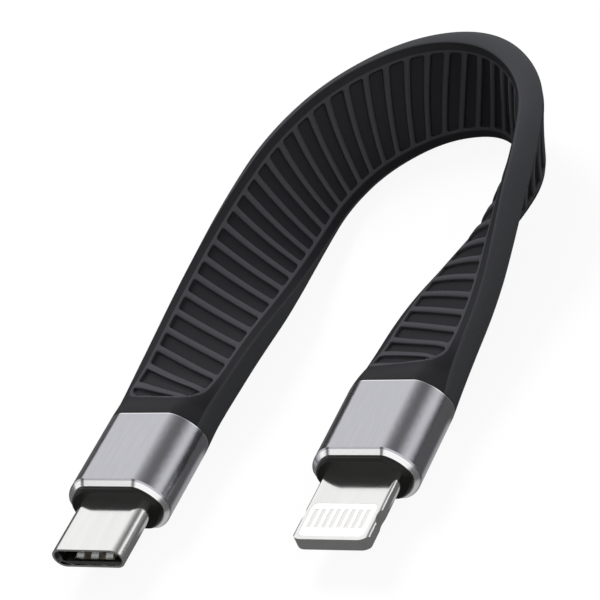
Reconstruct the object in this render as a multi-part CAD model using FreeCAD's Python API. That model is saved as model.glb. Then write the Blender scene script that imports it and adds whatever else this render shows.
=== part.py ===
"""Short flat charging cable: a ribbed strap with a 24-contact oval plug at one end
and a slim plug with eight contacts on each face at the other.

Both plugs lie flat with their tips towards -Y. The origin is on the surface they lie
on, under the middle of the two plugs' common box. X is across the plugs, Z is up.
"""
import FreeCAD, Part
import math
import os

# ---------------------------------------------------------------- sizes, millimetres
# metal sleeve, the same on both plugs
sleeve_width = 11.7
sleeve_height = 6.8
sleeve_flat = 5.4              # width of the flat top and bottom
sleeve_fullness = 0.45         # of the rounded sides: 0 is a straight line, 0.71 an ellipse
sleeve_length = 10.0
sleeve_wall = 0.7
sleeve_chamfer = 0.55          # bright bevel round the front edge

# plastic collar in the sleeve's mouth
collar_lip = 0.5               # stands out of the sleeve by this much
collar_depth = 2.1             # reaches this far into the sleeve
collar_bevel = 0.25

# oval plug
oval_width = 8.25
oval_height = 2.4
oval_reach = 7.15              # beyond the sleeve's front face
oval_wall = 0.25
oval_tail = 3.2                # length held inside the sleeve
housing_setback = 0.35         # behind the mouth's edge
housing_rear_setback = 1.85    # ahead of the shell's rear edge
tongue_width = 6.84            # room for the socket's tongue
tongue_height = 1.48
tongue_depth = 5.4
contact_count = 12
contact_pitch = 0.5
contact_width = 0.25
contact_thickness = 0.12
contact_gap = 0.62             # between the two rows' bumps
contact_setback = 1.1          # behind the housing's front face
contact_tail_reach = 0.75      # lies on the board behind the housing
contact_tip_lift = 0.05
bump_front = 0.5               # a contact's bump, from its tip
bump_rear = 0.8
bump_foot = 1.1
latch_thickness = 0.2
latch_height = 0.6
latch_setback = 0.7            # behind the housing's front face
latch_root_setback = 0.45      # ahead of the housing's rear face
latch_room = 0.225             # from the arm to the shell when nothing is plugged in
latch_slot_margin = 0.2
latch_hook = 0.23              # how far the hook stands in
hook_front = 0.35              # the hook's flat, from the arm's front
hook_rear = 0.65
hook_foot = 1.0
spring_setback = 0.35          # behind the housing's front face
spring_length = 1.1
spring_margin = 0.3            # strip beyond the outer fingers
spring_sheet = 0.1
finger_count = 3
finger_pitch = 1.7
finger_width = 0.8
finger_setback = 0.1
finger_drop = 0.32             # how far a finger reaches in from the strip's outer face
window_overlap = 0.1
mid_plate_width = 5.9
mid_plate_thickness = 0.15

# slim plug with eight contacts on each face
slim_width = 8.5
slim_height = 1.4
slim_reach = 9.2
slim_tail = 3.1
slim_side = 0.45               # how far the rounded side runs in
slim_corner = 1.2              # tip corners, seen from above
slim_border = 0.45             # metal round the insert at the tip
insert_width = 7.1
insert_length = 4.4
insert_corner = 0.6            # radius of the window's corners
pad_count = 8
pad_pitch = 0.8
pad_width = 0.38
pad_length = 2.4
pad_thickness = 0.12
pad_sink = 0.03
pad_offset = 0.15              # behind the insert's middle
notch_radius = 1.8
notch_depth = 0.38
notch_from_tip = 3.3

# electronics and inner shells
board_thickness = 0.8
board_rear_gap = 1.9           # from the board's rear edge to the sleeve's rear face
oval_board_width = 7.4
slim_board_width = 5.9
chip_size = 2.4
chip_height = 0.55
chip_from_rear = 2.6           # from the board's rear edge to the chip's middle
passive_length = 0.6
passive_width = 0.3
passive_count = 3              # in each row along the board
passive_from_rear = 1.4        # from the board's rear edge to the first one
passive_pitch = 1.3
passive_from_middle = 2.15
board_room = 5.3               # board length behind the slim frame that they are laid out for
can_wall = 0.2
can_rear_gap = 1.2

# strap and the flexible circuit inside it
strap_width = 11.6
strap_thickness = 2.6
strap_flat = 11.0              # between the rounded edges of the section
strap_side = 1.8               # height of the flat part of each edge
boot_length = 10.0             # over which the strap thickens towards a sleeve
boot_inset = 0.1               # the strap's end inside the sleeve's outline
boot_shoulder_share = 0.64     # of the sleeve's rounded side, where the strap's end has a corner
boot_side_share = 0.1          # of the sleeve's height, straight on the strap's end edge
bend_share = 0.45              # of the shorter run that a bend's arc takes up
flex_width = 8.0
flex_thickness = 0.2
tunnel_width = 8.4
tunnel_height = 0.4

# fits
fit_gap = 0.01                 # pressed or moulded pieces
slide_gap = 0.05               # moving pieces beside fixed ones
beyond = 5                     # cutting shapes reach this far past a plug's faces

# The strap's line from the oval plug's sleeve to the slim plug's sleeve: x, y, z and
# how far the section leans, in degrees. The loop rests on its lower edge.
strap_route = [
    (-13.0, 6.3, 3.4, 0),
    (-12.9, 10.1, 3.65, -3),
    (-12.0, 18.8, 4.8, 4),
    (-11.5, 27.7, 5.3, 22),
    (-11.6, 36.8, 5.4, 41),
    (-10.9, 45.7, 5.8, 54),
    (-7.4, 53.9, 6.0, 62),
    (-0.2, 59.5, 6.2, 74),
    (8.6, 59.0, 6.3, 85),
    (14.8, 51.2, 6.2, 76),
    (15.6, 41.5, 5.9, 60),
    (14.3, 32.8, 4.8, 39),
    (13.5, 24.2, 4.0, 20),
    (13.1, 15.4, 3.55, 13),
    (13.0, 10.85, 3.4, 0),
]

# ---------------------------------------------------------------- derived places
half_sleeve_width = sleeve_width / 2
half_sleeve_height = sleeve_height / 2
half_sleeve_flat = sleeve_flat / 2
sleeve_front = -sleeve_length
collar_front = sleeve_front - collar_lip
collar_rear = sleeve_front + collar_depth
oval_tip = sleeve_front - oval_reach
oval_rear = sleeve_front + oval_tail
slim_tip = sleeve_front - slim_reach
slim_rear = sleeve_front + slim_tail
half_board = board_thickness / 2
board_rear = -board_rear_gap
can_front = collar_rear + 2 * slide_gap
can_rear = -can_rear_gap
half_oval_width = oval_width / 2
half_oval_height = oval_height / 2
oval_flat = half_oval_width - half_oval_height
half_can_bore = max(oval_width, slim_width) / 2 + fit_gap
bore_half_width = half_oval_width - oval_wall
bore_half_height = half_oval_height - oval_wall
housing_front = oval_tip + housing_setback
housing_rear = oval_rear - housing_rear_setback
tongue_end = housing_front + tongue_depth
contact_floor = half_board + fit_gap
contact_top = contact_floor + contact_thickness
contact_tip = housing_front + contact_setback
contact_tail = housing_rear + contact_tail_reach
latch_outer = bore_half_width - latch_room
latch_inner = latch_outer - latch_thickness
latch_root = housing_rear - latch_root_setback
latch_front = housing_front + latch_setback
spring_front = housing_front + spring_setback
spring_rear = spring_front + spring_length
spring_half_width = (finger_count - 1) * finger_pitch / 2 + finger_width / 2 + spring_margin
half_mid_plate_width = mid_plate_width / 2
parts_spread = min(1.0, (board_rear - slim_rear) / board_room)


def point(x, y, z):
    """A point in millimetres."""
    return FreeCAD.Vector(x, y, z)


def block(x0, x1, y0, y1, z0, z1):
    """A box between two corners."""
    return Part.makeBox(x1 - x0, y1 - y0, z1 - z0, point(x0, y0, z0))


def rounded_block(half_width, y0, y1, half_height, radius):
    """A box about the plug's middle line with its four upright edges rounded."""
    box = block(-half_width, half_width, y0, y1, -half_height, half_height)
    upright = [edge for edge in box.Edges if abs(edge.Length - 2 * half_height) < fit_gap and
               abs(edge.Vertexes[0].Z - edge.Vertexes[1].Z) > half_height]
    return box.makeFillet(radius, upright)


def quarter(start, corner, end, fullness=math.sqrt(0.5)):
    """A rational curve from start to end, bent towards corner: a quarter of an ellipse
    unless another fullness is given."""
    curve = Part.BezierCurve()
    curve.setPoles([start, corner, end])
    curve.setWeight(2, fullness)
    return curve.toShape()


def oval_wire(half_width, half_height, half_flat, y, fullness=math.sqrt(0.5)):
    """Flat top and bottom joined by rounded sides, in the plane y."""
    corners = []
    for side, level in ((1, 1), (1, -1), (-1, -1), (-1, 1)):
        flat_end = point(side * half_flat, y, level * half_height)
        bend = point(side * half_width, y, level * half_height)
        middle = point(side * half_width, y, 0)
        corners.append((flat_end, bend, middle))
    edges = []
    for index in (0, 2):
        flat_end, bend, middle = corners[index]
        next_flat, next_bend, next_middle = corners[index + 1]
        before = corners[index - 1][0]
        edges.append(Part.LineSegment(before, flat_end).toShape())
        edges.append(quarter(flat_end, bend, middle, fullness))
        edges.append(quarter(middle, next_bend, next_flat, fullness))
    return Part.Wire(edges)


def oval_prism(half_width, half_height, half_flat, y0, y1):
    """An oval section carried along Y from y0 to y1."""
    face = Part.Face(oval_wire(half_width, half_height, half_flat, y0))
    return face.extrude(point(0, y1 - y0, 0))


def sleeve_prism(inset, y0, y1):
    """The sleeve's section, smaller all round by the inset, from y0 to y1."""
    wire = oval_wire(half_sleeve_width - inset, half_sleeve_height - inset, half_sleeve_flat, y0,
                     sleeve_fullness)
    return Part.Face(wire).extrude(point(0, y1 - y0, 0))


def sleeve_taper(front_inset, rear_inset, y0, y1):
    """A ruled solid from one inset of the sleeve's section at y0 to another at y1."""
    wires = []
    for inset, y in ((front_inset, y0), (rear_inset, y1)):
        wires.append(oval_wire(half_sleeve_width - inset, half_sleeve_height - inset, half_sleeve_flat, y,
                               sleeve_fullness))
    return Part.makeLoft(wires, True, True)


def profile_prism(outline, x0, x1):
    """A side outline of (y, z) points carried across X from x0 to x1."""
    corners = [point(x0, y, z) for y, z in outline]
    corners.append(corners[0])
    return Part.Face(Part.makePolygon(corners)).extrude(point(x1 - x0, 0, 0))


def mirror_z(shape):
    """The same piece on the other face of the plug."""
    return shape.mirror(point(0, 0, 0), point(0, 0, 1))


def mirror_x(shape):
    """The same piece on the other side of the plug."""
    return shape.mirror(point(0, 0, 0), point(1, 0, 0))


# ---------------------------------------------------------------- pieces of both plugs
# Each is made round a local origin at the centre of the sleeve's rear face.
def make_sleeve():
    """Aluminium sleeve: an oval tube with a bevelled front edge."""
    bevel_rear = sleeve_front + sleeve_chamfer
    body = sleeve_prism(0, bevel_rear, 0)
    body = body.fuse(sleeve_taper(sleeve_chamfer, 0, sleeve_front, bevel_rear))
    return body.cut(sleeve_prism(sleeve_wall, sleeve_front - 1, 1)).removeSplitter()


def make_collar(opening):
    """Plastic collar in the sleeve's mouth, with the plug's opening through it."""
    inset = sleeve_wall + fit_gap
    bevel_rear = collar_front + collar_bevel
    body = sleeve_prism(inset, bevel_rear, collar_rear)
    body = body.fuse(sleeve_taper(inset + collar_bevel, inset, collar_front, bevel_rear))
    return body.cut(opening).removeSplitter()


def make_shield_can():
    """Inner metal can round the board, open at both ends."""
    bore = (half_can_bore, half_oval_height + fit_gap, oval_flat)
    outer = (bore[0] + can_wall, bore[1] + can_wall, oval_flat)
    return oval_prism(*outer, can_front, can_rear).cut(oval_prism(*bore, can_front - 1, can_rear + 1))


def make_inner_mould():
    """Plastic filling between the can and the sleeve, with the flexible circuit's slot."""
    body = sleeve_prism(sleeve_wall + fit_gap, can_front, 0)
    can_half_width = half_can_bore + can_wall + fit_gap
    can_half_height = half_oval_height + can_wall + 2 * fit_gap
    can_room = oval_prism(can_half_width, can_half_height, oval_flat, can_front - 1, can_rear + fit_gap)
    half_slot = tunnel_width / 2
    slot = block(-half_slot, half_slot, can_rear - 1, 1, -tunnel_height / 2, tunnel_height / 2)
    return body.cut(can_room).cut(slot)


def make_chip():
    """Controller chip on the board's upper face."""
    middle = board_rear - chip_from_rear * parts_spread
    half = chip_size / 2
    top = half_board + chip_height
    return block(-half, half, middle - half, middle + half, half_board, top)


def make_passives():
    """Small chip capacitors and resistors on both faces of the board."""
    pieces = []
    for side in (-1, 1):
        for step in range(passive_count):
            x = side * passive_from_middle
            y = board_rear - (passive_from_rear + passive_pitch * step) * parts_spread
            for top in (-half_board - passive_width, half_board):
                x_start = x - passive_length / 2
                y_start = y - passive_width / 2
                bottom_corner = point(x_start, y_start, top)
                pieces.append(Part.makeBox(passive_length, passive_width, passive_width, bottom_corner))
    return Part.makeCompound(pieces)


# ---------------------------------------------------------------- oval plug
def make_oval_shell():
    """Drawn metal shell of the oval plug, open at both ends."""
    outer = oval_prism(half_oval_width, half_oval_height, oval_flat, oval_tip, oval_rear)
    bore = oval_prism(bore_half_width, bore_half_height, oval_flat, oval_tip - 1, oval_rear + 1)
    return outer.cut(bore)


def make_oval_housing():
    """Black insulator inside the shell, with room for the tongue, latches and contacts."""
    wide = bore_half_width - fit_gap
    high = bore_half_height - fit_gap
    body = oval_prism(wide, high, oval_flat, housing_front, housing_rear)
    half_tongue = tongue_width / 2
    half_room = tongue_height / 2
    body = body.cut(block(-half_tongue, half_tongue, housing_front - 1, tongue_end, -half_room, half_room))
    slot_half_height = latch_height / 2 + slide_gap
    slot_front = latch_front - latch_slot_margin
    slot_rear = latch_root + slide_gap
    for side in (-1, 1):
        x_low = min(side * half_tongue, side * (wide + 1))
        x_high = max(side * half_tongue, side * (wide + 1))
        body = body.cut(block(x_low, x_high, slot_front, slot_rear, -slot_half_height, slot_half_height))
    channel_half_width = (contact_count - 1) * contact_pitch / 2 + contact_width
    channel = block(-channel_half_width, channel_half_width, tongue_end - 1, housing_rear + 1,
                    contact_floor - slide_gap, contact_top + 2 * slide_gap)
    plate_half = mid_plate_thickness / 2 + fit_gap
    plate_slot = block(-half_mid_plate_width - fit_gap, half_mid_plate_width + fit_gap, tongue_end - 1,
                       housing_rear + 1, -plate_half, plate_half)
    window_half = spring_half_width + slide_gap
    window = block(-window_half, window_half, spring_front - slide_gap, spring_rear + slide_gap,
                   half_room - window_overlap, high + 1)
    body = body.cut(channel).cut(mirror_z(channel)).cut(plate_slot)
    return body.cut(window).cut(mirror_z(window))


def make_ground_spring():
    """Grounding spring behind the mouth: a strip against the shell with bent-in fingers."""
    top = bore_half_height - 2 * fit_gap
    strip = block(-spring_half_width, spring_half_width, spring_front, spring_rear, top - spring_sheet, top)
    finger_front = spring_front + finger_setback
    for index in range(finger_count):
        x = (index - (finger_count - 1) / 2) * finger_pitch
        finger = block(x - finger_width / 2, x + finger_width / 2, finger_front,
                       finger_front + spring_sheet, top - finger_drop, top)
        strip = strip.fuse(finger)
    return strip.removeSplitter()


def make_contact_row():
    """Upper row of contact beams, each with a bump near its tip."""
    bump = contact_gap / 2
    outline = [
        (contact_tail, contact_floor),
        (contact_tip + bump_foot, contact_floor),
        (contact_tip + bump_rear, bump),
        (contact_tip + bump_front, bump),
        (contact_tip, contact_floor + contact_tip_lift),
        (contact_tip, contact_top),
        (contact_tail, contact_top),
    ]
    beams = []
    for index in range(contact_count):
        x = (index - (contact_count - 1) / 2) * contact_pitch
        beams.append(profile_prism(outline, x - contact_width / 2, x + contact_width / 2))
    return Part.makeCompound(beams)


def make_latch():
    """Right-hand latch arm: a spring strip along the tongue's side, hooked at its tip."""
    half_height = latch_height / 2
    arm = block(latch_inner, latch_outer, latch_front, latch_root, -half_height, half_height)
    corners = [
        point(latch_inner, latch_front, -half_height),
        point(latch_inner, latch_front + hook_foot, -half_height),
        point(latch_inner - latch_hook, latch_front + hook_rear, -half_height),
        point(latch_inner - latch_hook, latch_front + hook_front, -half_height),
        point(latch_inner, latch_front, -half_height),
    ]
    hook = Part.Face(Part.makePolygon(corners)).extrude(point(0, 0, latch_height))
    return arm.fuse(hook).removeSplitter()


def make_mid_plate():
    """Thin metal plate between the two contact rows' tails."""
    half = mid_plate_thickness / 2
    front = tongue_end + slide_gap
    return block(-half_mid_plate_width, half_mid_plate_width, front, housing_rear, -half, half)


def make_oval_board():
    """Circuit board behind the oval plug's contacts."""
    half_width = oval_board_width / 2
    return block(-half_width, half_width, housing_rear + slide_gap, board_rear, -half_board, half_board)


# ---------------------------------------------------------------- slim plug
def slim_prism(grow, y0, y1):
    """The slim plug's section, grown by a clearance, from y0 to y1."""
    half_width = slim_width / 2 + grow
    return oval_prism(half_width, slim_height / 2 + grow, half_width - slim_side, y0, y1)


def make_slim_frame():
    """Metal frame of the slim plug: rounded tip corners, a window and two side notches."""
    half_width = slim_width / 2
    body = slim_prism(0, slim_tip, slim_rear)
    straight = slim_tip + slim_corner
    across = half_width - slim_corner
    corners = {}
    for side in (-1, 1):
        edge = side * half_width
        corners[side] = [
            point(side * across, slim_tip, -beyond),
            point(edge, slim_tip, -beyond),
            point(edge, straight, -beyond),
            point(edge, slim_rear, -beyond),
        ]
    left, right = corners[-1], corners[1]
    front_edge = Part.LineSegment(left[0], right[0]).toShape()
    right_edge = Part.LineSegment(right[2], right[3]).toShape()
    rear_edge = Part.LineSegment(right[3], left[3]).toShape()
    left_edge = Part.LineSegment(left[3], left[2]).toShape()
    right_corner = quarter(right[0], right[1], right[2])
    left_corner = quarter(left[2], left[1], left[0])
    outline = Part.Wire([front_edge, right_corner, right_edge, rear_edge, left_edge, left_corner])
    body = body.common(Part.Face(outline).extrude(point(0, 0, 2 * beyond)))
    half_insert = insert_width / 2
    window_front = slim_tip + slim_border
    window_rear = window_front + insert_length
    body = body.cut(rounded_block(half_insert, window_front, window_rear, beyond, insert_corner))
    half_cavity = slim_board_width / 2 + slide_gap
    cavity_height = half_board + slide_gap
    cavity = block(-half_cavity, half_cavity, window_rear - 1, slim_rear + 1, -cavity_height, cavity_height)
    body = body.cut(cavity)
    for side in (-1, 1):
        centre = point(side * (half_width - notch_depth + notch_radius), slim_tip + notch_from_tip, -beyond)
        body = body.cut(Part.makeCylinder(notch_radius, 2 * beyond, centre))
    return body


def make_slim_insert():
    """Pale plastic insert that fills the window and holds the contact pads."""
    half_insert = insert_width / 2 - fit_gap
    front = slim_tip + slim_border + fit_gap
    rear = slim_tip + slim_border + insert_length - fit_gap
    half_height = slim_height / 2 - fit_gap
    body = rounded_block(half_insert, front, rear, half_height, insert_corner)
    for pocket in pad_boxes(fit_gap):
        body = body.cut(pocket).cut(mirror_z(pocket))
    return body


def pad_boxes(grow):
    """The contact pads of the upper face, grown sideways by a clearance."""
    top = slim_height / 2 - pad_sink
    if grow:
        top = slim_height
    bottom = slim_height / 2 - pad_sink - pad_thickness
    middle = slim_tip + slim_border + insert_length / 2 + pad_offset
    boxes = []
    for index in range(pad_count):
        x = (index - (pad_count - 1) / 2) * pad_pitch
        half_width = pad_width / 2 + grow
        half_length = pad_length / 2 + grow
        boxes.append(block(x - half_width, x + half_width, middle - half_length, middle + half_length,
                           bottom, top))
    return boxes


def make_slim_board():
    """Circuit board that reaches into the slim plug's frame up to the insert."""
    half_width = slim_board_width / 2
    front = slim_tip + slim_border + insert_length + slide_gap
    return block(-half_width, half_width, front, board_rear, -half_board, half_board)


# ---------------------------------------------------------------- strap
def strap_stations():
    """Stations along straight runs joined by tangent arcs: place, direction and lean."""
    points = [point(x, y, z) for x, y, z, lean in strap_route]
    leans = [lean for x, y, z, lean in strap_route]
    last = len(points) - 1
    runs = [points[i + 1].sub(points[i]) for i in range(last)]
    lengths = [run.Length for run in runs]
    directions = [FreeCAD.Vector(run).normalize() for run in runs]
    stations = [(points[0], point(0, 1, 0), leans[0])]
    radii = []
    for i in range(1, last):
        before = directions[i - 1]
        after = directions[i]
        half_turn = before.getAngle(after) / 2
        cut_back = bend_share * min(lengths[i - 1], lengths[i])
        radius = cut_back / math.tan(half_turn)
        radii.append(radius)
        start = points[i] - before * cut_back
        end = points[i] + after * cut_back
        lean_start = leans[i] + (leans[i - 1] - leans[i]) * cut_back / lengths[i - 1]
        lean_end = leans[i] + (leans[i + 1] - leans[i]) * cut_back / lengths[i]
        inward = FreeCAD.Vector(after.sub(before)).normalize()
        middle = points[i] + inward * (radius * (1 / math.cos(half_turn) - 1))
        along = FreeCAD.Vector(before.add(after)).normalize()
        lean_middle = (lean_start + 2 * leans[i] + lean_end) / 4
        stations.append((start, before, lean_start))
        stations.append((middle, along, lean_middle))
        stations.append((end, after, lean_end))
    stations.append((points[last], point(0, -1, 0), leans[last]))
    print("strap bend radii", [round(radius, 1) for radius in radii])
    return stations


def station_axes(direction, lean):
    """Across and upward axes of the strap's section, leaning round its direction."""
    level = FreeCAD.Vector(direction.y, -direction.x, 0).normalize()
    upright = level.cross(direction)
    angle = math.radians(lean)
    across = level * math.cos(angle) - upright * math.sin(angle)
    return across, across.cross(direction)


def ring_at(station, outline):
    """The outline's (across, upward) points placed at a station."""
    place, direction, lean = station
    across, upward = station_axes(direction, lean)
    return [place + across * a + upward * b for a, b in outline]


def strap_outline(distance):
    """Twelve-sided section at a distance from the nearer sleeve: thicker towards it."""
    share = max(0.0, 1 - distance / boot_length)
    share = share * share * (3 - 2 * share)
    end_half_width = half_sleeve_width - boot_inset
    end_half_height = half_sleeve_height - boot_inset
    half_width = strap_width / 2 + (end_half_width - strap_width / 2) * share
    half_height = strap_thickness / 2 + (end_half_height - strap_thickness / 2) * share
    half_flat = strap_flat / 2 + (half_sleeve_flat - strap_flat / 2) * share
    end_half_side = half_sleeve_height * boot_side_share
    half_side = strap_side / 2 + (end_half_side - strap_side / 2) * share
    middle_shoulder = (strap_flat + strap_width) / 4
    end_shoulder = half_sleeve_flat + (end_half_width - half_sleeve_flat) * boot_shoulder_share
    shoulder = middle_shoulder + (end_shoulder - middle_shoulder) * share
    middle_shoulder_height = (strap_thickness + strap_side) / 4
    end_shoulder_height = end_half_height * boot_shoulder_share
    shoulder_height = middle_shoulder_height + (end_shoulder_height - middle_shoulder_height) * share
    return [
        (-half_flat, half_height), (half_flat, half_height), (shoulder, shoulder_height),
        (half_width, half_side), (half_width, -half_side), (shoulder, -shoulder_height),
        (half_flat, -half_height), (-half_flat, -half_height), (-shoulder, -shoulder_height),
        (-half_width, -half_side), (-half_width, half_side), (-shoulder, shoulder_height),
    ]


def box_outline(width, height):
    """Four corners of a flat section."""
    across, up = width / 2, height / 2
    return [(-across, up), (across, up), (across, -up), (-across, -up)]


def skin(rings):
    """Triangles between neighbouring rings of points.

    The first half of a ring is its upper side. The diagonals of the other half run the
    other way round the ring, so that both sides of a twisted strip bend along one line.
    """
    faces = []
    for ring, following in zip(rings, rings[1:]):
        count = len(ring)
        for i in range(count):
            j = (i + 1) % count
            triangles = ((ring[i], ring[j], following[j]), (ring[i], following[j], following[i]))
            if i >= count // 2:
                triangles = ((ring[i], ring[j], following[i]), (ring[j], following[j], following[i]))
            for corners in triangles:
                loop = Part.makePolygon([corners[0], corners[1], corners[2], corners[0]])
                faces.append(Part.Face(loop))
    return faces


def end_cap(ring, hole=None):
    """Flat end face, with the tunnel's mouth if there is one."""
    cap = Part.Face(Part.makePolygon(ring + [ring[0]]))
    if hole:
        cap = cap.cut(Part.Face(Part.makePolygon(hole + [hole[0]]))).Faces[0]
    return cap


def closed_solid(faces):
    """One solid from the faces that bound it."""
    shell = Part.makeShell(faces)
    shell.sewShape()
    solid = Part.Solid(shell)
    if solid.Volume < 0:
        solid.reverse()
    return solid


def path_distances(stations):
    """Distance of each station along the path."""
    distances = [0.0]
    for first, second in zip(stations, stations[1:]):
        distances.append(distances[-1] + second[0].distanceToPoint(first[0]))
    return distances


def make_strap(stations):
    """Moulded strap, hollow along its middle for the flexible circuit."""
    distances = path_distances(stations)
    total = distances[-1]
    outer = []
    inner = []
    for station, distance in zip(stations, distances):
        outer.append(ring_at(station, strap_outline(min(distance, total - distance))))
        inner.append(ring_at(station, box_outline(tunnel_width, tunnel_height)))
    faces = skin(outer) + skin(inner)
    faces.append(end_cap(outer[0], inner[0]))
    faces.append(end_cap(outer[-1], inner[-1]))
    solid = closed_solid(faces)
    print("strap", solid.isValid(), "length", round(total, 2), "volume", round(solid.Volume, 1))
    return solid


def make_flex_circuit(stations):
    """Flexible circuit that joins the two boards through the strap's tunnel."""
    reach = board_rear_gap - slide_gap
    first, last = stations[0], stations[-1]
    inside = (first[0] - first[1] * reach, first[1], 0)
    far_inside = (last[0] + last[1] * reach, last[1], 0)
    whole = [inside] + stations + [far_inside]
    rings = [ring_at(station, box_outline(flex_width, flex_thickness)) for station in whole]
    solid = closed_solid(skin(rings) + [end_cap(rings[0]), end_cap(rings[-1])])
    expected = path_distances(whole)[-1] * flex_width * flex_thickness
    print("flex circuit", solid.isValid(), "volume", round(solid.Volume, 1), "section by length",
          round(expected, 1))
    return solid


# ---------------------------------------------------------------- assembly
oval_home = point(*strap_route[0][:3])
slim_home = point(*strap_route[-1][:3])
oval_opening = oval_prism(half_oval_width, half_oval_height, oval_flat, collar_front - 1, collar_rear + 1)
slim_opening = slim_prism(0, collar_front - 1, collar_rear + 1)
contact_row = make_contact_row()
ground_spring = make_ground_spring()
latch = make_latch()
pads = Part.makeCompound(pad_boxes(0))

oval_plug = {
    "oval_plug_sleeve": make_sleeve(),
    "oval_plug_collar": make_collar(oval_opening),
    "oval_plug_shell": make_oval_shell(),
    "oval_plug_housing": make_oval_housing(),
    "oval_plug_contacts_upper": contact_row,
    "oval_plug_contacts_lower": mirror_z(contact_row),
    "oval_plug_latch_right": latch,
    "oval_plug_latch_left": mirror_x(latch),
    "oval_plug_ground_spring_upper": ground_spring,
    "oval_plug_ground_spring_lower": mirror_z(ground_spring),
    "oval_plug_mid_plate": make_mid_plate(),
    "oval_plug_board": make_oval_board(),
    "oval_plug_chip": make_chip(),
    "oval_plug_passives": make_passives(),
    "oval_plug_shield_can": make_shield_can(),
    "oval_plug_inner_mould": make_inner_mould(),
}
slim_plug = {
    "slim_plug_sleeve": make_sleeve(),
    "slim_plug_collar": make_collar(slim_opening),
    "slim_plug_frame": make_slim_frame(),
    "slim_plug_insert": make_slim_insert(),
    "slim_plug_contacts_upper": pads,
    "slim_plug_contacts_lower": mirror_z(pads),
    "slim_plug_board": make_slim_board(),
    "slim_plug_chip": make_chip(),
    "slim_plug_passives": make_passives(),
    "slim_plug_shield_can": make_shield_can(),
    "slim_plug_inner_mould": make_inner_mould(),
}
stations = strap_stations()
pieces = {"strap": make_strap(stations), "flex_circuit": make_flex_circuit(stations)}
for home, plug in ((oval_home, oval_plug), (slim_home, slim_plug)):
    for name, shape in plug.items():
        pieces[name] = shape.translated(home)

os.makedirs("parts", exist_ok=True)
for name, shape in pieces.items():
    shape.exportStep("parts/" + name + ".step")
print("contact pivot", (contact_tail, contact_floor), "latch pivot",
      (latch_inner + latch_thickness / 2, latch_root))
print(len(pieces), "pieces")
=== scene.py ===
"""Looks of a short flat charging cable: a ribbed strap between an oval plug and a slim plug.

Lengths are in metres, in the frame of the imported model: plug tips towards -Y, Z up,
the surface that the cable lies on at Z = 0.
"""
import math
import bmesh
import bpy
import numpy as np
from mathutils import Matrix, Vector


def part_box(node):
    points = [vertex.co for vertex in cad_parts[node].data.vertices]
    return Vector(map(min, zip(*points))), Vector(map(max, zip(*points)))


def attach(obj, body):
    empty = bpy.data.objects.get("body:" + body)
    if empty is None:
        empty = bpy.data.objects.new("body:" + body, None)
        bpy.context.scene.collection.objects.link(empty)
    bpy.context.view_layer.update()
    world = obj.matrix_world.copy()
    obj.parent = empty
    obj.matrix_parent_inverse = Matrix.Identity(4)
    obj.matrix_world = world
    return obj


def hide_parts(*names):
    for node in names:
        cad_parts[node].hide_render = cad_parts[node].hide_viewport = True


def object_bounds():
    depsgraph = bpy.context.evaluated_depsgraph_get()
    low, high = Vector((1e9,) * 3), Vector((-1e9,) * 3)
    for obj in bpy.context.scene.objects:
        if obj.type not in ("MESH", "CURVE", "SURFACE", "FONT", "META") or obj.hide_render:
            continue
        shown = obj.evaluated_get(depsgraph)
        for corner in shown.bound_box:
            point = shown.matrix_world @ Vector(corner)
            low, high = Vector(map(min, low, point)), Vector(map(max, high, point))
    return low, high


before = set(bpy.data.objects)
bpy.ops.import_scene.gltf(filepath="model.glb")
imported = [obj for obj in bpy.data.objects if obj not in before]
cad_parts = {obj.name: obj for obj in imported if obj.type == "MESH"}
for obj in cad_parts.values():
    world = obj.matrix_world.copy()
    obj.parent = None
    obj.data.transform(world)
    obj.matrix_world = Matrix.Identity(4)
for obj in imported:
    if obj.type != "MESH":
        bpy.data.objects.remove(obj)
cad_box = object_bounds()
MM = 0.001                     # metres in a millimetre

# ---------------------------------------------------------------- camera
VIEW_AZIMUTH = 36.92
VIEW_ELEVATION = 34.20
VIEW_ROLL = 24.36
VIEW_DISTANCE = 0.315
VIEW_LENS = 187.8
AIM = Vector((0.0002, 0.0201, 0.0094))

# ---------------------------------------------------------------- stage
FLOOR_GLOW = 0.92              # share of plain white in the floor where it is seen or mirrored
WORLD_LIGHT = 0.35             # the world's strength as a light
FLOOR_SIZE = 4
ARCH_RADIUS = 0.4
ARCH_NEAR = 0.05
ARCH_FAR = 0.9
ARCH_STEPS = 121
# The arch's angles are in degrees from straight up, positive towards +X.
OVERHEAD_START = -38
OVERHEAD_FULL = 34
WINDOW_START = 38
WINDOW_CLEAR = 66
RIGHT_LOW = (69, 84)           # where the low right cloth starts and where it is full
LEFT_LOW = (-62, -76)
OVERHEAD_COVER = 0.8
LOW_COVER = 0.93
TABLE_COVER = 0.86
STRIP_DISTANCE = 0.45
STRIP_HEIGHT = 0.3
CLOTH_HEIGHT = 0.05 * MM       # of the table cloth over the floor
CLOTH_MARGIN = 10 * MM
CLOTH_STEPS = 81
UNDER = 0.6                    # share of the table cloth's cover that is left under a sleeve
CLOTH_FADE = 1.5 * MM          # from a sleeve's edge to the table cloth's full cover


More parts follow.
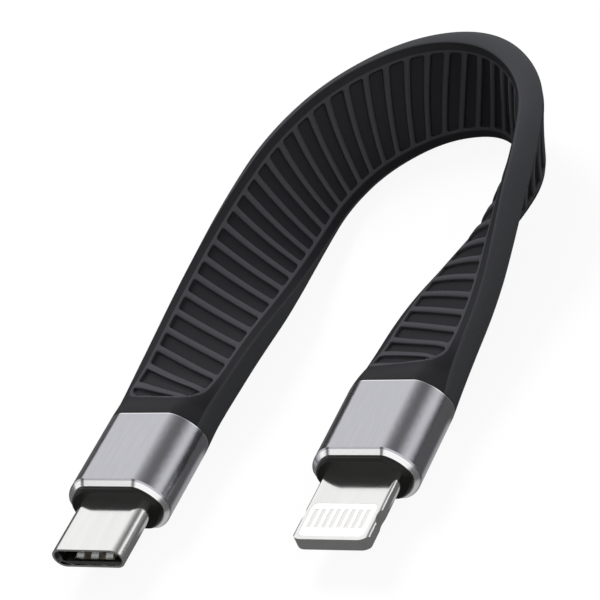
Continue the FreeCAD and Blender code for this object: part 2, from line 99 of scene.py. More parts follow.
def make_camera():
    """A long lens, turned round its own line of sight by the roll."""
    azimuth = math.radians(VIEW_AZIMUTH)
    elevation = math.radians(VIEW_ELEVATION)
    roll = math.radians(VIEW_ROLL)
    back = Vector((math.sin(azimuth) * math.cos(elevation), -math.cos(azimuth) * math.cos(elevation),
                   math.sin(elevation)))
    level = Vector((math.cos(azimuth), math.sin(azimuth), 0))
    upright = back.cross(level)
    right = level * math.cos(roll) - upright * math.sin(roll)
    up = back.cross(right)
    camera = bpy.data.objects.new("camera", bpy.data.cameras.new("camera"))
    camera.data.lens = VIEW_LENS
    camera.data.clip_start = 0.01
    camera.data.clip_end = 10
    camera.matrix_world = Matrix.Translation(AIM + back * VIEW_DISTANCE) @ Matrix(
        (right, up, back)).transposed().to_4x4()
    bpy.context.scene.collection.objects.link(camera)
    bpy.context.scene.camera = camera


# ---------------------------------------------------------------- shader helpers
def new_material(name):
    """A material with its node tree and its principled shader."""
    material = bpy.data.materials.new(name)
    material.use_nodes = True
    return material, material.node_tree, material.node_tree.nodes["Principled BSDF"]


def object_coordinates(tree, scale=(1, 1, 1)):
    """Object coordinates in metres, multiplied along each axis."""
    coordinates = tree.nodes.new("ShaderNodeTexCoord")
    mapping = tree.nodes.new("ShaderNodeMapping")
    mapping.inputs["Scale"].default_value = scale
    tree.links.new(coordinates.outputs["Object"], mapping.inputs["Vector"])
    return mapping.outputs["Vector"]


def noise(tree, vector, scale, detail=3.0):
    """Noise value over a vector."""
    node = tree.nodes.new("ShaderNodeTexNoise")
    node.inputs["Scale"].default_value = scale
    node.inputs["Detail"].default_value = detail
    tree.links.new(vector, node.inputs["Vector"])
    return node.outputs["Fac"]


def ramp(tree, value, stops):
    """A colour for each value: stops are (position, colour)."""
    node = tree.nodes.new("ShaderNodeValToRGB")
    elements = node.color_ramp.elements
    while len(elements) < len(stops):
        elements.new(0.5)
    for element, (position, colour) in zip(elements, stops):
        element.position = position
        element.color = (*colour, 1)
    tree.links.new(value, node.inputs["Fac"])
    return node.outputs["Color"]


def spread(tree, value, low, high):
    """A value from 0 to 1 spread between low and high."""
    node = tree.nodes.new("ShaderNodeMapRange")
    node.inputs["To Min"].default_value = low
    node.inputs["To Max"].default_value = high
    tree.links.new(value, node.inputs["Value"])
    return node.outputs["Result"]


def attribute(tree, name):
    """A number that the mesh keeps at each of its points."""
    node = tree.nodes.new("ShaderNodeAttribute")
    node.attribute_name = name
    return node.outputs["Fac"]


def calculate(tree, operation, *values):
    """A Math node's result over values that are numbers or other nodes' outputs."""
    node = tree.nodes.new("ShaderNodeMath")
    node.operation = operation
    for socket, value in zip(node.inputs, values):
        if isinstance(value, bpy.types.NodeSocket):
            tree.links.new(value, socket)
        else:
            socket.default_value = value
    return node.outputs[0]


def bump(tree, value, shader, strength, depth):
    """A bump of that depth in metres on the shader's normal."""
    node = tree.nodes.new("ShaderNodeBump")
    node.inputs["Strength"].default_value = strength
    node.inputs["Distance"].default_value = depth
    tree.links.new(value, node.inputs["Height"])
    tree.links.new(node.outputs["Normal"], shader.inputs["Normal"])


# ---------------------------------------------------------------- finishes
def studio_cloth():
    """Black cloth, clear where its own cover attribute is 0."""
    material, tree, shader = new_material("studio_cloth")
    shader.inputs["Base Color"].default_value = (0.004, 0.004, 0.004, 1)
    shader.inputs["Roughness"].default_value = 1.0
    shader.inputs["Specular IOR Level"].default_value = 0.0
    clear = tree.nodes.new("ShaderNodeBsdfTransparent")
    mix = tree.nodes.new("ShaderNodeMixShader")
    tree.links.new(attribute(tree, "cover"), mix.inputs["Fac"])
    tree.links.new(clear.outputs[0], mix.inputs[1])
    tree.links.new(shader.outputs[0], mix.inputs[2])
    tree.links.new(mix.outputs[0], tree.nodes["Material Output"].inputs["Surface"])
    return material


def strap_elastomer_painted_light():
    """Soft matt elastomer with painted light and shade from its tone attribute: painted light on the rib
    tops, side walls and highlight lines, painted shade in the panels' floors and on the border.
    """
    material, tree, shader = new_material("strap_elastomer_painted_light")
    vector = object_coordinates(tree)
    fine = noise(tree, vector, 3200.0, 4.0)
    cloud = noise(tree, vector, 240.0)
    grain = calculate(tree, "MULTIPLY", cloud, fine)
    tone = calculate(tree, "MULTIPLY_ADD", grain, STRAP_GRAIN, attribute(tree, "tone"))
    # The tone's ramp paints shade in the pocket floors and on the border and light on the side walls and
    # rib tops.
    stops = [(0.05, STRAP_FLOOR_SHADE_TONE), (0.40, STRAP_BORDER_SHADE_TONE),
             (0.70, STRAP_WALL_LIT_TONE), (1.0, STRAP_RIB_LIT_TONE)]
    tree.links.new(ramp(tree, tone, stops), shader.inputs["Base Color"])
    tree.links.new(spread(tree, fine, 0.5, 0.66), shader.inputs["Roughness"])
    shader.inputs["Specular IOR Level"].default_value = 0.25
    bump(tree, fine, shader, 0.4, 0.000008)
    return material


def anodised_sleeve(name, node):
    """Anodised sleeve with its front bevel and rear edge cut bright.

    The bright bands lie within a bevel's width of the node's front and rear faces.
    """
    material = drawn_metal(name, SLEEVE_DARK, SLEEVE_LIGHT, 0.2, along=(2600, 300, 2600))
    tree = material.node_tree
    shader = tree.nodes["Principled BSDF"]
    low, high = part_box(node)
    axes = tree.nodes.new("ShaderNodeSeparateXYZ")
    tree.links.new(object_coordinates(tree), axes.inputs[0])
    middle = (low[1] + high[1] + BRIGHT_FRONT - BRIGHT_REAR) / 2
    half = (high[1] - low[1] - BRIGHT_FRONT - BRIGHT_REAR) / 2
    inside = calculate(tree, "COMPARE", axes.outputs["Y"], middle, half)
    mix = tree.nodes.new("ShaderNodeMix")
    mix.data_type = "RGBA"
    mix.inputs["A"].default_value = (*BRIGHT_CUT, 1)
    colour = shader.inputs["Base Color"].links[0].from_socket
    tree.links.new(inside, mix.inputs["Factor"])
    tree.links.new(colour, mix.inputs["B"])
    tree.links.new(mix.outputs["Result"], shader.inputs["Base Color"])
    return material


def moulded_plastic(name, dark, light, roughness, grain=2200.0, depth=0.00001, specular=0.5):
    """Moulded plastic or elastomer: two close tones, fine grain and uneven gloss."""
    material, tree, shader = new_material(name)
    vector = object_coordinates(tree)
    tone = noise(tree, vector, 260.0)
    fine = noise(tree, vector, grain, 4.0)
    tree.links.new(ramp(tree, tone, [(0.3, dark), (0.7, light)]), shader.inputs["Base Color"])
    tree.links.new(spread(tree, fine, roughness - 0.06, roughness + 0.06), shader.inputs["Roughness"])
    shader.inputs["Specular IOR Level"].default_value = specular
    bump(tree, fine, shader, 0.35, depth)
    return material


def drawn_metal(name, dark, light, roughness, along=(900, 60, 900), depth=0.000002):
    """Metal with faint lines along its length, from drawing or brushing."""
    material, tree, shader = new_material(name)
    lines = noise(tree, object_coordinates(tree, along), 1.0, 4.0)
    cloud = noise(tree, object_coordinates(tree), 180.0)
    shader.inputs["Metallic"].default_value = 1.0
    tree.links.new(ramp(tree, lines, [(0.3, dark), (0.7, light)]), shader.inputs["Base Color"])
    tree.links.new(spread(tree, cloud, roughness - 0.03, roughness + 0.03), shader.inputs["Roughness"])
    bump(tree, lines, shader, 0.2, depth)
    return material


# ---------------------------------------------------------------- mesh helpers
def grid_faces(rows, columns, closed_columns=False):
    """Quads of a grid of points kept row by row, its last column joined to its first if closed.

    Each quad is a point, the next in its row, and the same two places in the next row.
    """
    i = np.arange(rows - 1)
    j = np.arange(columns if closed_columns else columns - 1)
    i, j = np.meshgrid(i, j, indexing="ij")
    next_j = (j + 1) % columns
    row = i * columns
    next_row = row + columns
    quads = np.stack([row + j, row + next_j, next_row + next_j, next_row + j], axis=-1)
    return quads.reshape(-1, 4)


def mesh_object(name, points, faces, smooth=True):
    """A mesh piece from points and faces, its object at the origin."""
    mesh = bpy.data.meshes.new(name)
    mesh.from_pydata(np.asarray(points).tolist(), [], [list(f) for f in faces])
    mesh.validate()
    mesh.polygons.foreach_set("use_smooth", np.full(len(mesh.polygons), smooth))
    mesh.update()
    piece = bpy.data.objects.new(name, mesh)
    bpy.context.scene.collection.objects.link(piece)
    return piece


def repair_normals(piece):
    """Turns the faces of each closed part outwards."""
    work = bmesh.new()
    work.from_mesh(piece.data)
    bmesh.ops.recalc_face_normals(work, faces=work.faces)
    work.to_mesh(piece.data)
    work.free()


def smoothstep(value):
    """0 below 0, 1 above 1 and between them 3 t squared less 2 t cubed."""
    t = np.clip(value, 0, 1)
    return t * t * (3 - 2 * t)


def eased(value, start, full):
    """0 before start, 1 past full and the smoothstep of the share between; full may lie below start."""
    return smoothstep((value - start) / (full - start))


# ---------------------------------------------------------------- strap
# The route repeats the model's: x, y, z and the lean of the section in degrees.
STRAP_ROUTE = [
    (-0.0130, 0.0063, 0.0034, 0),
    (-0.0129, 0.0101, 0.00365, -3),
    (-0.0120, 0.0188, 0.0048, 4),
    (-0.0115, 0.0277, 0.0053, 22),
    (-0.0116, 0.0368, 0.0054, 41),
    (-0.0109, 0.0457, 0.0058, 54),
    (-0.0074, 0.0539, 0.0060, 62),
    (-0.0002, 0.0595, 0.0062, 74),
    (0.0086, 0.0590, 0.0063, 85),
    (0.0148, 0.0512, 0.0062, 76),
    (0.0156, 0.0415, 0.0059, 60),
    (0.0143, 0.0328, 0.0048, 39),
    (0.0135, 0.0242, 0.0040, 20),
    (0.0131, 0.0154, 0.00355, 13),
    (0.0130, 0.01085, 0.0034, 0),
]
STRAP_CREASE = 5.79 * MM       # half the width between the creases
STRAP_EDGE = 1.285 * MM        # half the thickness at the creases
STRAP_FACE = 1.40 * MM         # half the thickness at the ribs' tops
STRAP_BULGE = 0.25 * MM        # the side wall stands out of the crease
STRAP_BOOT = 9.0 * MM          # the strap thickens to the sleeve over this length
STRAP_SQUARE = 3.0 * MM        # the strap turns square to the sleeve over this length
PANEL_HALF = 4.6 * MM
PANEL_START = 3.2 * MM         # from a sleeve to the panel's end
PANEL_CORNER = 2.2 * MM
PANEL_DEPTH = 0.38 * MM
PANEL_WALL = 0.12 * MM         # a pocket's walls lean over this width
RIB_FIRST = 6.5 * MM           # from the oval plug's sleeve to the first full rib
RIB_LAST = 5.1 * MM            # from the last rib to the slim plug's sleeve
RIB_COUNT = 45
RIB_TOP = 0.33 * MM            # half the rib's flat top
POCKET_CORNER = 0.32 * MM      # corners of the pockets between the ribs
RIB_SLANT = math.tan(math.radians(20.5))
SLANT_FADE = 5.5 * MM          # the rows turn from square to slanted over this length
# Colours of the strap's tone ramp: painted shade in the pocket floors and on the border, painted light
# on the side walls and rib tops.
STRAP_FLOOR_SHADE_TONE = (0.0085, 0.0083, 0.0104)
STRAP_BORDER_SHADE_TONE = (0.0078, 0.0078, 0.0094)
STRAP_WALL_LIT_TONE = (0.032, 0.033, 0.037)
STRAP_RIB_LIT_TONE = (0.044, 0.044, 0.050)
STRAP_GRAIN = 0.16
# Tones on that ramp: the border's painted shade and the side walls' painted light.
BORDER_SHADE_TONE = 0.30
END_PALER = 0.12               # added to the border's tone beside a sleeve
END_REACH = 1.4                # where that starts, as a share of PANEL_START
WALL_LIT_TONE = 0.65
RIM_HIGHLIGHT_WIDTH = 0.16 * MM          # the painted highlight line round the panel
RIM_HIGHLIGHT_FADE = 0.22 * MM
# Painted shadow in the joint with a sleeve, over this width.
JOINT_SHADOW_WIDTH = 0.14 * MM
# Painted highlight lines along the creases.
CREASE_HIGHLIGHT_TONE = 0.85
CREASE_HIGHLIGHT_WIDTH = 0.15 * MM       # of the painted highlight line along each crease
CREASE_HIGHLIGHT_WALL = (0.75, 0.95)     # shares of a side wall's half height: the painted highlight line's start and full
SLEEVE_DARK = (0.50, 0.50, 0.54)
SLEEVE_LIGHT = (0.525, 0.525, 0.565)
BRIGHT_CUT = (0.93, 0.93, 0.93)
BRIGHT_FRONT = 0.40 * MM       # on the sleeve's front bevel
BRIGHT_REAR = 0.10 * MM        # the sleeve's rear edge
SLEEVE_HALF_WIDTH = 5.85 * MM
SLEEVE_HALF_HEIGHT = 3.4 * MM
SLEEVE_HALF_FLAT = 2.7 * MM
SLEEVE_FULLNESS = 0.45         # of the rounded sides, as in the model
SIDE_START = 0.66              # share of the rounded side above the strap's crease
FACE_FLAT = 0.47               # share of a wide face that meets the sleeve's flat

# Where the strap's mesh has its columns and rows, in mm.
MIDDLE_COLUMNS = (0.4, 1.8, 3)     # first, last and how many
PANEL_COLUMNS = (-0.36, -0.28, -0.21, -0.15, -0.10, -0.05, 0.0, 0.06, 0.14)
BORDER_COLUMNS = (0.22, 0.34, 0.5, 0.75, 0.95)     # from the panel's side, as the line above
CREASE_COLUMNS = (0.15, 0.07, 0.0)                 # in from the crease
CORNER_START = 2.3                                 # the panel's rounded corners start here
CORNER_END = 0.5                                   # in from the panel's side
CORNER_COLUMNS = 6
FLANK_ROWS = (0.0, 0.05, 0.10, 0.16, 0.26, 0.36)   # from the edge of a rib's flat top
END_ROW = 0.2                                      # between the rows near a sleeve
CLOSEST_ROWS = 0.02
WALL_POINTS = 11


def spline_points(points):
    """Points along the smooth line that has the given points as its control points."""
    curve = bpy.data.curves.new("route", "CURVE")
    curve.dimensions = "3D"
    curve.resolution_u = 64
    spline = curve.splines.new("NURBS")
    spline.points.add(len(points) - 1)
    for target, place in zip(spline.points, points):
        target.co = (*place, 1)
    spline.order_u = 3
    spline.use_endpoint_u = True
    holder = bpy.data.objects.new("route", curve)
    bpy.context.scene.collection.objects.link(holder)
    mesh = bpy.data.meshes.new_from_object(holder)
    found = np.empty(len(mesh.vertices) * 3)
    mesh.vertices.foreach_get("co", found)
    bpy.data.objects.remove(holder)
    bpy.data.meshes.remove(mesh)
    return found.reshape(-1, 3)


def unit(vectors):
    """Vectors divided by their own lengths."""
    return vectors / np.linalg.norm(vectors, axis=-1, keepdims=True)


def strap_frame():
    """Line, length along it, across axis and upward axis at closely spaced places.

    The direction is the line's slope, turned to the sleeve's own axis near each end.
    Across is level times the lean's cosine less upright times its sine, and upward is
    the cross product of across and the direction.
    """
    line = spline_points([place[:3] for place in STRAP_ROUTE])
    lean = np.radians(spline_points([(place[3] * MM, 0, 0) for place in STRAP_ROUTE])[:, 0] / MM)
    steps = np.linalg.norm(np.diff(line, axis=0), axis=1)
    along = np.concatenate([[0], np.cumsum(steps)])
    direction = unit(np.gradient(line, along, axis=0))
    square = 1 - smoothstep(np.minimum(along, along[-1] - along) / STRAP_SQUARE)
    ends = np.where(along < along[-1] / 2, 1.0, -1.0)[:, None] * np.array([0, 1.0, 0])
    direction = unit(direction * (1 - square[:, None]) + ends * square[:, None])
    level = unit(np.stack([direction[:, 1], -direction[:, 0], np.zeros(len(line))], axis=1))
    upright = np.cross(level, direction)
    across = level * np.cos(lean)[:, None] - upright * np.sin(lean)[:, None]
    return line, along, across, np.cross(across, direction)


def face_columns():
    """Places across a wide face, closest together at the panel's walls and mirrored about 0."""
    middle = np.linspace(*MIDDLE_COLUMNS) * MM
    corner = np.linspace(CORNER_START * MM, PANEL_HALF - CORNER_END * MM, CORNER_COLUMNS)
    wall = PANEL_HALF + np.array(PANEL_COLUMNS) * MM
    border = PANEL_HALF + np.array(BORDER_COLUMNS) * MM
    crease = STRAP_CREASE - np.array(CREASE_COLUMNS) * MM
    half = np.concatenate([middle, corner, wall, border, crease])
    return np.concatenate([-half[::-1], half])


def strap_rows(length, pitch):
    """Places along the strap: dense at each rib's flanks and round the panel's ends.

    A rib's centre is the first one's place plus a whole number of pitches. Places
    closer than CLOSEST_ROWS to the one before are left out.
    """
    flank = RIB_TOP + np.array(FLANK_ROWS) * MM
    offsets = np.concatenate([-flank[::-1], [0], flank])
    centres = RIB_FIRST + pitch * np.arange(-1, RIB_COUNT + 1)
    ribs = (centres[:, None] + offsets).ravel()
    middles = centres[:-1] + pitch / 2
    start = np.arange(0, RIB_FIRST, END_ROW * MM)
    rows = np.sort(np.concatenate([ribs, middles, start, length - start]))
    rows = rows[(rows >= 0) & (rows <= length)]
    keep = np.concatenate([[True], np.diff(rows) > CLOSEST_ROWS * MM])
    return np.concatenate([rows[keep][:-1], [length]])


def boot_share(distance):
    """1 at a sleeve, falling as a smoothstep to 0 where the strap has its own section."""
    return smoothstep(1 - distance / STRAP_BOOT)


def sleeve_side(share):
    """Across and upward places on the sleeve's rounded side.

    share runs from 0 at the end of the flat to 1 at the widest place. The curve is the
    rational one of the model: points weighted (1 - s)^2, 2 w s (1 - s) and s^2, with w
    the fullness.
    """
    top = (1 - share) ** 2
    bend = 2 * SLEEVE_FULLNESS * share * (1 - share)
    side = share ** 2
    total = top + bend + side
    across = SLEEVE_HALF_FLAT + (SLEEVE_HALF_WIDTH - SLEEVE_HALF_FLAT) * (bend + side) / total
    return across, SLEEVE_HALF_HEIGHT * (top + bend) / total


def strap_section(distance, place, side):
    """Across and upward places of the section's points.

    place is the point's place across a wide face, or for a side wall's point its
    share of the wall's height; side tells the four sides apart. The strap's own
    section has flat faces that fall a little towards the creases and bulging side
    walls. It is mixed with the sleeve's oval by the boot's share.
    """
    share = boot_share(distance)
    face = np.abs(place) / STRAP_CREASE
    fall = eased(np.abs(place), PANEL_HALF + PANEL_WALL, STRAP_CREASE)
    face_up = STRAP_FACE - (STRAP_FACE - STRAP_EDGE) * fall
    rounded = np.clip((face - FACE_FLAT) / (1 - FACE_FLAT), 0, 1)
    side_across, side_up = sleeve_side(rounded * SIDE_START)
    flat_across = face / FACE_FLAT * SLEEVE_HALF_FLAT
    sleeve_across = np.where(face < FACE_FLAT, flat_across, side_across) * np.sign(place)
    across = place + (sleeve_across - place) * share
    up = face_up + (side_up - face_up) * share
    wall_across = STRAP_CREASE + STRAP_BULGE * (1 - place ** 2)
    wall_up = STRAP_EDGE * place
    side_across, side_up = sleeve_side(1 - np.abs(place) * (1 - SIDE_START))
    wall_across = wall_across + (side_across - wall_across) * share
    wall_up = wall_up + (side_up * np.sign(place) - wall_up) * share
    is_face = np.abs(side) == 2
    return (np.where(is_face, across, wall_across * np.sign(side)),
            np.where(is_face, up * np.sign(side), wall_up))


def rounded_gap(length_in, width_in, corner):
    """How far a point lies outside a rounded rectangle; inside it is negative.

    length_in and width_in are the point's depths inside the straight sides. Beside a
    corner the gap is the distance from the corner's centre less its radius. Elsewhere
    it is the larger of the two depths, each with its sign turned.
    """
    along = corner - length_in
    across = corner - width_in
    outside = np.hypot(np.maximum(along, 0), np.maximum(across, 0)) - corner
    return np.maximum(outside, np.maximum(along, across) - corner)


def strap_painted_light(distance, panel, pocket, crease, is_face):
    """How pale the surface is, as painted light and shade: painted shade in the pocket floors 0 and on
    the border, painted light on the side walls and on the rib tops 1.

    The border pales a little towards the sleeves and a painted highlight line round the panel is as
    pale as the ribs. The larger of that and the crease's painted highlight line is then multiplied by
    what isn't pocket, which paints shade in the floors, and by a smoothstep that paints shadow in the
    joint with a sleeve.
    """
    border = BORDER_SHADE_TONE + END_PALER * smoothstep(END_REACH - distance / PANEL_START)
    # Painted highlight along the panel's rounded rim.
    rim = smoothstep(1 - (panel - RIM_HIGHLIGHT_WIDTH) / RIM_HIGHLIGHT_FADE)
    outside = np.where(is_face, border + (1 - border) * rim, WALL_LIT_TONE)
    outside = np.maximum(outside, CREASE_HIGHLIGHT_TONE * crease)
    # Painted shade in the pocket floors and painted shadow in the joint with a sleeve.
    return outside * (1 - pocket) * smoothstep(distance / JOINT_SHADOW_WIDTH)


def make_strap():
    """Strap with recessed panels and slanted ribs on both wide faces.

    A closed section is carried along the route's smooth line: each point is the line's
    place plus the section's two places times the across and upward axes. The rows are
    slanted across the strap as the ribs are, so that a rib's flanks follow the mesh.
    """
    line, along, across_axis, up_axis = strap_frame()
    length = along[-1]
    pitch = (length - RIB_FIRST - RIB_LAST) / (RIB_COUNT - 1)
    rows = strap_rows(length, pitch)
    columns = face_columns()
    wall = np.linspace(1, -1, WALL_POINTS)[1:-1]
    place = np.concatenate([columns, wall, columns[::-1], wall[::-1]])
    side = np.concatenate([np.full(len(columns), 2), np.full(len(wall), 1),
                           np.full(len(columns), -2), np.full(len(wall), -1)])
    slant_place = np.where(np.abs(side) == 2, place, STRAP_CREASE * side)
    fade = np.clip(np.minimum(rows, length - rows) / SLANT_FADE, 0, 1)
    station = rows[:, None] - RIB_SLANT * slant_place[None, :] * fade[:, None]
    station = np.clip(station, 0, length)
    distance = np.minimum(station, length - station)
    offset = (rows - RIB_FIRST + pitch / 2) % pitch - pitch / 2
    place_grid = np.broadcast_to(place, station.shape)
    side_grid = np.broadcast_to(side, station.shape)
    across, up = strap_section(distance, place_grid, side_grid)
    is_face = np.abs(side_grid) == 2
    width_in = PANEL_HALF - np.abs(place_grid)
    panel = rounded_gap(distance - PANEL_START, width_in, PANEL_CORNER)
    cell = rounded_gap((np.abs(offset) - RIB_TOP)[:, None], width_in, POCKET_CORNER)
    pocket = np.where(is_face, smoothstep(-np.maximum(panel, cell) / PANEL_WALL), 0)
    up = up - np.sign(side_grid) * PANEL_DEPTH * pocket
    # Painted highlight lines along the creases, carried into the tone.
    face_crease_highlight = eased(np.abs(place_grid), STRAP_CREASE - CREASE_HIGHLIGHT_WIDTH, STRAP_CREASE)
    crease = np.where(is_face, face_crease_highlight, eased(np.abs(place_grid), *CREASE_HIGHLIGHT_WALL))
    tone = strap_painted_light(distance, panel, pocket, crease, is_face)

    def sample(values):
        """Each axis of the values at the stations, in straight steps between the line's places."""
        return np.stack([np.interp(station, along, values[:, axis]) for axis in range(3)], axis=-1)

    points = sample(line) + sample(across_axis) * across[..., None] + sample(up_axis) * up[..., None]
    row_count, column_count = station.shape
    faces = [tuple(face) for face in grid_faces(row_count, column_count, closed_columns=True)]
    last = (row_count - 1) * column_count
    faces.append(tuple(range(column_count))[::-1])
    faces.append(tuple(range(last, last + column_count)))
    strap = mesh_object("ribbed_strap", points.reshape(-1, 3), faces)
    # The tone attribute holds the strap's painted light and shade.
    layer = strap.data.attributes.new("tone", "FLOAT", "POINT")
    layer.data.foreach_set("value", tone.ravel().astype(np.float32))
    strap.data.materials.append(finish["strap"])
    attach(strap, "cable")
    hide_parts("strap")


# ---------------------------------------------------------------- plug details
FINGER_PITCH = 1.7 * MM
FINGER_WIDTH = 0.85 * MM
SPRING_SHEET = 0.1 * MM
FINGER_RISE = 0.42 * MM        # a finger's crest above its strip
FINGER_CREST = 0.7             # share of the finger's length up to its crest
FINGER_TURN = 0.72             # share of its length where the tip turns back down
FINGER_DROP = 0.45             # share of the rise that the tip loses
FINGER_STEPS = 12
PLUG_MIDDLE = STRAP_ROUTE[0][2]


def strip_solid(top, thickness, x0, x1):
    """Points and faces of a bent strip from x0 to x1.

    Its section is a (y, z) line and the same line lowered by the thickness.
    """
    line = np.concatenate([top, top[::-1] - np.array([0, thickness])])
    count = len(line)
    points = np.concatenate([np.insert(line, 0, x0, axis=1), np.insert(line, 0, x1, axis=1)])
    faces = [tuple(face) for face in grid_faces(2, count, closed_columns=True)]
    half = count // 2
    for i in range(half - 1):
        caps = (i, i + 1, count - 2 - i, count - 1 - i)
        faces.append(caps[::-1])
        faces.append(tuple(corner + count for corner in caps))
    return points, faces


def make_ground_spring(side):
    """Grounding spring: a strip against the shell with three fingers that slope in.

    A finger leaves the strip's front edge, rises away from the mouth as a smoothstep
    and turns back down at its tip by a second one. side is 1 for the upper spring and
    -1 for the lower.
    """
    word = "upper" if side > 0 else "lower"
    node = "oval_plug_ground_spring_" + word
    low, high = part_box(node)
    middle = (low[0] + high[0]) / 2
    base = -max(abs(low[2] - PLUG_MIDDLE), abs(high[2] - PLUG_MIDDLE))
    strip = np.array([[low[1], base + SPRING_SHEET], [high[1], base + SPRING_SHEET]])
    reach = np.linspace(0, 1, FINGER_STEPS)
    rise = smoothstep(reach / FINGER_CREST) - FINGER_DROP * eased(reach, FINGER_TURN, 1)
    finger_y = low[1] + reach * (high[1] - low[1])
    finger = np.stack([finger_y, base + SPRING_SHEET + FINGER_RISE * rise], axis=1)
    parts = [strip_solid(strip, SPRING_SHEET, low[0], high[0])]
    for step in (-1, 0, 1):
        left = middle + step * FINGER_PITCH - FINGER_WIDTH / 2
        parts.append(strip_solid(finger, SPRING_SHEET / 2, left, left + FINGER_WIDTH))
    points = np.concatenate([part[0] for part in parts])
    faces = []
    start = 0
    for part_points, part_faces in parts:
        faces += [tuple(corner + start for corner in face) for face in part_faces]
        start += len(part_points)
    points[:, 2] = PLUG_MIDDLE - side * points[:, 2]
    spring = mesh_object("ground_spring_" + word, points, faces, smooth=False)
    repair_normals(spring)
    spring.data.materials.append(finish["spring"])
    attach(spring, "cable")
    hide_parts(node)


# ---------------------------------------------------------------- stage and light
def seen_or_mirrored(tree):
    """1 on rays from the camera, from gloss and through glass, and 0 on the rest."""
    path = tree.nodes.new("ShaderNodeLightPath")
    share = path.outputs["Is Camera Ray"]
    for name in ("Is Glossy Ray", "Is Transmission Ray"):
        share = calculate(tree, "MAXIMUM", share, path.outputs[name])
    return share


def make_floor():
    """Plain white floor that keeps a soft shadow."""
    bpy.ops.mesh.primitive_plane_add(size=FLOOR_SIZE)
    floor = bpy.context.object
    floor.name = "floor"
    material, tree, shader = new_material("floor")
    shader.inputs["Base Color"].default_value = (0.9, 0.9, 0.9, 1)
    shader.inputs["Roughness"].default_value = 0.9
    shader.inputs["Specular IOR Level"].default_value = 0.0
    glow = tree.nodes.new("ShaderNodeEmission")
    glow.inputs["Strength"].default_value = 1.0
    mix = tree.nodes.new("ShaderNodeMixShader")
    tree.links.new(spread(tree, seen_or_mirrored(tree), 0.0, FLOOR_GLOW), mix.inputs["Fac"])
    tree.links.new(shader.outputs[0], mix.inputs[1])
    tree.links.new(glow.outputs[0], mix.inputs[2])
    tree.links.new(mix.outputs[0], tree.nodes["Material Output"].inputs["Surface"])
    floor.data.materials.append(material)


def make_world():
    """White where it is seen or mirrored, softer as a light."""
    world = bpy.data.worlds.new("studio")
    bpy.context.scene.world = world
    world.use_nodes = True
    tree = world.node_tree
    background = tree.nodes["Background"]
    background.inputs["Color"].default_value = (1, 1, 1, 1)
    tree.links.new(spread(tree, seen_or_mirrored(tree), WORLD_LIGHT, 1.0), background.inputs["Strength"])


def dark_cloth(name, points, cover):
    """A grid of black cloth that only mirrored rays meet, clear where its cover is 0."""
    rows, columns = cover.shape
    cloth = mesh_object(name, points.reshape(-1, 3), grid_faces(rows, columns))
    layer = cloth.data.attributes.new("cover", "FLOAT", "POINT")
    layer.data.foreach_set("value", cover.ravel().astype(np.float32))
    cloth.data.materials.append(finish["cloth"])
    cloth.visible_camera = False
    cloth.visible_diffuse = False
    cloth.visible_shadow = False


def make_arch():
    """Black cloth arched behind the cable, round the Y axis.

    Its cover depends on the angle from straight up: overhead it deepens towards the
    right as one eased step times another that clears a narrow window, and low on both
    sides it is full past an eased step each.
    """
    turn = np.linspace(-90, 90, ARCH_STEPS)
    overhead = eased(turn, OVERHEAD_START, OVERHEAD_FULL) * eased(turn, WINDOW_CLEAR, WINDOW_START)
    low = eased(turn, *RIGHT_LOW) + eased(turn, *LEFT_LOW)
    cover = OVERHEAD_COVER * overhead + LOW_COVER * low
    reach = np.array([ARCH_NEAR, ARCH_FAR])
    angle, along = np.meshgrid(np.radians(turn), reach, indexing="ij")
    points = np.stack([ARCH_RADIUS * np.sin(angle), along, ARCH_RADIUS * np.cos(angle)], axis=-1)
    dark_cloth("arch", points, np.repeat(cover[:, None], 2, axis=1))


def make_front_strip(name, aim, width):
    """Narrow black strip above the front that breaks the bevels' shine at their corners.

    A flat rectangle whose points are STRIP_DISTANCE along its aim from the origin, plus
    half its width and height either way on two axes square to the aim.
    """
    aim = unit(np.array(aim))
    level = unit(np.cross(aim, np.array([0, 0, 1.0])))
    steep = np.cross(level, aim)
    across, up = np.meshgrid(np.array([-0.5, 0.5]) * width, np.array([-0.5, 0.5]) * STRIP_HEIGHT)
    points = aim * STRIP_DISTANCE + across[..., None] * level + up[..., None] * steep
    dark_cloth(name, points, np.full(across.shape, LOW_COVER))


def make_table_cloth():
    """Black cloth just over the floor, which makes the low sides of the metal dark.

    Its cover is the share UNDER below a sleeve and grows by a smoothstep with the
    distance from the nearest sleeve's own rectangle.
    """
    near_x = np.linspace(cad_box[0][0] - CLOTH_MARGIN, cad_box[1][0] + CLOTH_MARGIN, CLOTH_STEPS)
    near_y = np.linspace(cad_box[0][1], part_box("slim_plug_sleeve")[1][1] + CLOTH_MARGIN, CLOTH_STEPS)
    x = np.concatenate([[-ARCH_RADIUS], near_x, [ARCH_RADIUS]])
    y = np.concatenate([[-ARCH_RADIUS], near_y, [ARCH_FAR]])
    x, y = np.meshgrid(x, y, indexing="xy")
    distance = np.full(x.shape, ARCH_FAR)
    for name in ("oval_plug_sleeve", "slim_plug_sleeve"):
        low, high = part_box(name)
        beside = np.maximum(np.maximum(low[0] - x, x - high[0]), 0)
        ahead = np.maximum(np.maximum(low[1] - y, y - high[1]), 0)
        distance = np.minimum(distance, np.hypot(beside, ahead))
    points = np.stack([x, y, np.full(x.shape, CLOTH_HEIGHT)], axis=-1)
    cover = TABLE_COVER * (UNDER + (1 - UNDER) * smoothstep(distance / CLOTH_FADE))
    dark_cloth("table_cloth", points, cover)


def area_light(name, place, size, power):
    """A soft square lamp that points at the cable and isn't mirrored in it."""
    data = bpy.data.lights.new(name, "AREA")
    data.size = size
    data.energy = power
    lamp = bpy.data.objects.new(name, data)
    lamp.location = place
    lamp.rotation_mode = "QUATERNION"
    lamp.rotation_quaternion = (AIM - Vector(place)).to_track_quat("-Z", "Y")
    lamp.visible_glossy = False
    bpy.context.scene.collection.objects.link(lamp)


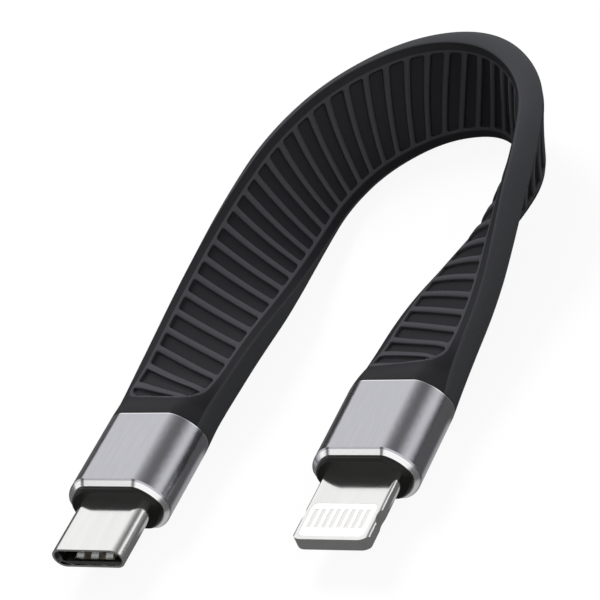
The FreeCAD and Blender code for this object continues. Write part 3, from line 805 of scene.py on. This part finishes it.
# ---------------------------------------------------------------- making
bpy.context.scene.view_settings.view_transform = "Standard"
make_camera()
finish = {
    "strap": strap_elastomer_painted_light(),
    "collar": moulded_plastic("collar_plastic", (0.005, 0.005, 0.0045), (0.008, 0.008, 0.007), 0.4,
                              specular=0.28),
    "oval_sleeve": anodised_sleeve("oval_sleeve_anodised", "oval_plug_sleeve"),
    "slim_sleeve": anodised_sleeve("slim_sleeve_anodised", "slim_plug_sleeve"),
    "nickel": drawn_metal("bright_nickel", (0.82, 0.83, 0.82), (0.88, 0.88, 0.87), 0.14),
    "insulator": moulded_plastic("black_insulator", (0.006, 0.006, 0.006), (0.01, 0.01, 0.01), 0.4),
    "spring": drawn_metal("spring_sheet", (0.90, 0.90, 0.89), (0.94, 0.94, 0.93), 0.42),
    "gold": drawn_metal("gold_contact", (0.78, 0.55, 0.22), (0.85, 0.62, 0.27), 0.22),
    "pale": moulded_plastic("pale_insert", (0.88, 0.88, 0.87), (0.92, 0.92, 0.91), 0.35),
    "board": moulded_plastic("solder_mask", (0.015, 0.07, 0.03), (0.02, 0.10, 0.05), 0.35),
    "tan": moulded_plastic("fired_body", (0.30, 0.22, 0.14), (0.38, 0.29, 0.19), 0.4),
    "tin": drawn_metal("tinned_sheet", (0.52, 0.52, 0.52), (0.62, 0.62, 0.61), 0.35),
    "film": moulded_plastic("polyimide_film", (0.38, 0.17, 0.03), (0.46, 0.23, 0.06), 0.3),
    "pad": drawn_metal("pale_pad", (0.90, 0.89, 0.87), (0.93, 0.92, 0.90), 0.3),
    "cloth": studio_cloth(),
}
make_strap()
make_ground_spring(1)
make_ground_spring(-1)
# A word in a node's name and the finish it takes.
NODE_FINISH = {
    "oval_plug_sleeve": "oval_sleeve", "slim_plug_sleeve": "slim_sleeve", "collar": "collar",
    "shell": "nickel", "frame": "nickel", "housing": "insulator", "spring": "spring", "latch": "spring",
    "mid_plate": "spring", "insert": "pale", "board": "board", "chip": "insulator", "passives": "tan",
    "shield_can": "tin", "inner_mould": "collar", "flex_circuit": "film",
    "slim_plug_contacts": "pad", "oval_plug_contacts": "gold",
}
for name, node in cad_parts.items():
    for word, key in NODE_FINISH.items():
        if word in name:
            node.data.materials.clear()
            node.data.materials.append(finish[key])

make_floor()
make_world()
make_arch()
make_front_strip("strip_right", (-0.24, -0.64, 0.72), 0.12)
make_front_strip("strip_left", (-0.72, -0.45, 0.52), 0.12)
make_table_cloth()
area_light("key", (-0.35, 0.40, 0.60), 0.30, 6.0)
area_light("fill", (0.5, -0.3, 0.5), 0.5, 0.6)
area_light("side", (0.45, 0.25, 0.35), 0.25, 0.7)
